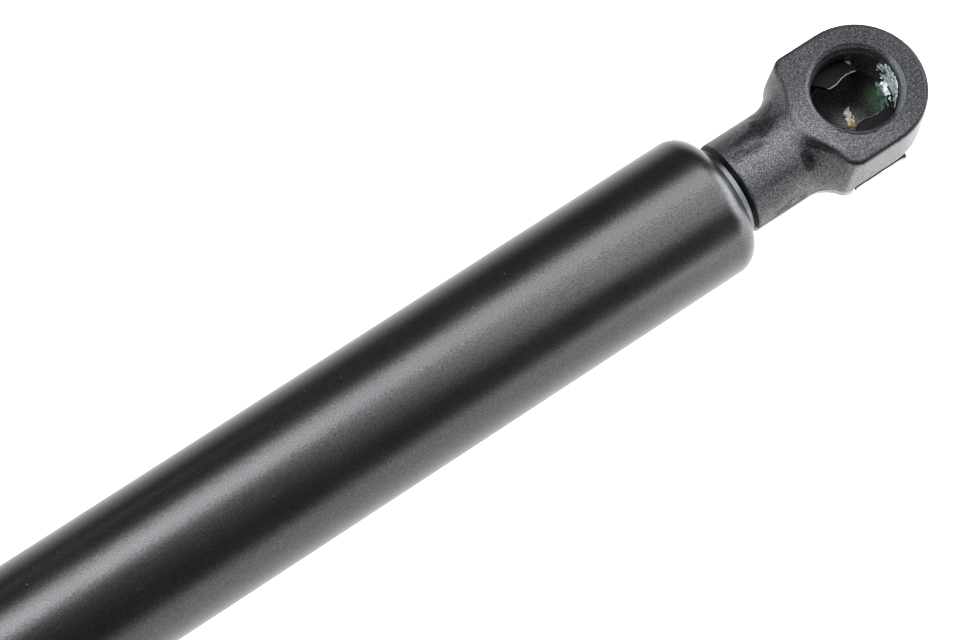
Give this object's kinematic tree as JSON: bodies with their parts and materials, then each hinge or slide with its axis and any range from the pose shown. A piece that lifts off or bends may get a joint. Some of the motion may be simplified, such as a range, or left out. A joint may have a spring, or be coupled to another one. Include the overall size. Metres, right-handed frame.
{
  "type": "gas strut stay",
  "caption": "Gas-filled strut stay: a rolled steel tube and sliding rod with a composite ball socket and spring clip at each end.",
  "frame": {"origin": "middle of the ball that the base socket (on the tube's end) takes", "axes": "+X runs along the strut to the rod's end, +Z points out of both sockets' mouths"},
  "size_m": [0.4034, 0.019, 0.019],
  "materials": {
    "tube_paint": "semi-gloss black paint",
    "plug_steel": "zinc-plated turned steel",
    "socket_nylon": "matte glass-filled nylon",
    "clip_spring_steel": "blackened spring steel",
    "rod_chrome": "polished hard chrome",
    "nitrile_rubber": "moulded nitrile rubber",
    "wiper_polyurethane": "moulded polyurethane",
    "guide_acetal": "moulded acetal",
    "bush_bronze": "sintered bronze with a low-friction lining",
    "washer_steel": "stamped steel",
    "piston_sinter": "sintered steel",
    "piston_ring_nylon": "turned nylon"
  },
  "bodies": {
    "cylinder": {"pressure_tube": "tube_paint", "base_end_plug": "plug_steel", "base_plug_seal_ring": "nitrile_rubber", "base_socket_housing": "socket_nylon", "rod_wiper": "wiper_polyurethane", "rod_guide_body": "guide_acetal", "guide_sliding_bush": "bush_bronze", "seal_backing_washer": "washer_steel", "rod_seal": "nitrile_rubber", "seal_support_ring": "washer_steel"},
    "base_clip": {"base_socket_clip": "clip_spring_steel"},
    "piston_seal": {"piston_ring": "piston_ring_nylon"},
    "rod": {"piston_rod": "rod_chrome", "piston_front_disc": "washer_steel", "piston_body": "piston_sinter", "metering_disc": "washer_steel", "piston_rear_disc": "washer_steel", "rod_socket_housing": "socket_nylon"},
    "rod_clip": {"rod_socket_clip": "clip_spring_steel"}
  },
  "joints": [
    {"name": "rod_stroke", "type": "slide", "parent": "cylinder", "child": "piston_seal", "axis": [1, 0, 0], "range_m": [-0.15, 0], "stiffness_N_per_m": 400},
    {"name": "rod_spin", "type": "hinge", "parent": "piston_seal", "child": "rod", "pos_m": [0.385, 0, 0], "axis": [1, 0, 0], "continuous": true},
    {"name": "base_clip_lift", "type": "slide", "parent": "cylinder", "child": "base_clip", "axis": [0, 0, -1], "range_m": [0, 0.0025], "stiffness_N_per_m": 1500},
    {"name": "rod_clip_lift", "type": "slide", "parent": "rod", "child": "rod_clip", "axis": [0, 0, -1], "range_m": [0, 0.0025], "stiffness_N_per_m": 1500}
  ]
}
